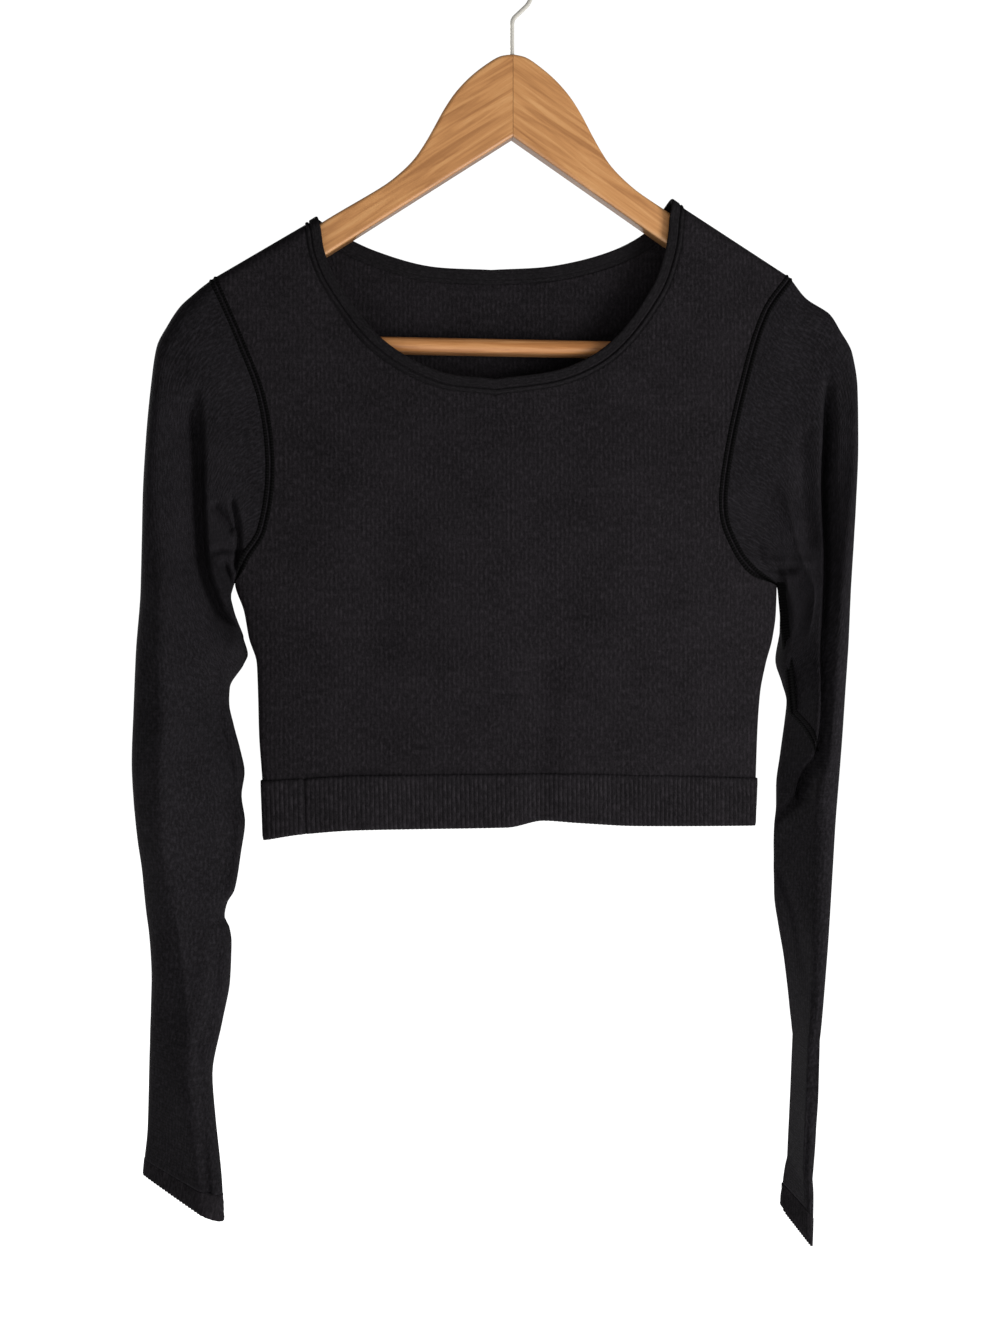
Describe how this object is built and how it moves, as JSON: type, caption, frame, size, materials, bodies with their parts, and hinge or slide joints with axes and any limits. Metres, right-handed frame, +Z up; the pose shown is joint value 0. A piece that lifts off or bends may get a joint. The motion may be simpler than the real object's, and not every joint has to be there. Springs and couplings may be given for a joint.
{
  "type": "long-sleeved cropped knit top on a wooden hanger",
  "caption": "Dark marled rib-knit crop top with long sleeves, a bound round neck and a hem band, hung flat on a flat wooden hanger with a bar and a wire hook.",
  "frame": {"origin": "inner top of the hanger's hook, where the rail or peg carries it", "axes": "+Z up, -Y out of the front of the top, +X towards the right-hand side seen from the front"},
  "size_m": [0.4748, 0.0648, 0.8455],
  "materials": {
    "knit": "matt marled charcoal rib knit",
    "rib": "matt charcoal rib knit, denser",
    "binding": "matt folded knit binding",
    "seam_thread": "matt dark stitched seam",
    "board_wood": "satin clear lacquer",
    "bar_wood": "satin clear lacquer",
    "hook_steel": "bright plated wire"
  },
  "bodies": {
    "root": {"front": "knit", "back": "knit", "hem_band": "rib", "neck_binding": "binding", "sleeve_left": "knit", "sleeve_right": "knit", "cuff_left": "rib", "cuff_right": "rib", "armhole_seam_left": "seam_thread", "armhole_seam_right": "seam_thread", "sleeve_seam_left": "seam_thread", "sleeve_seam_right": "seam_thread", "hanger_wing_left": "board_wood", "hanger_wing_right": "board_wood", "hanger_bar": "bar_wood", "hanger_hook": "hook_steel"}
  },
  "joints": []
}
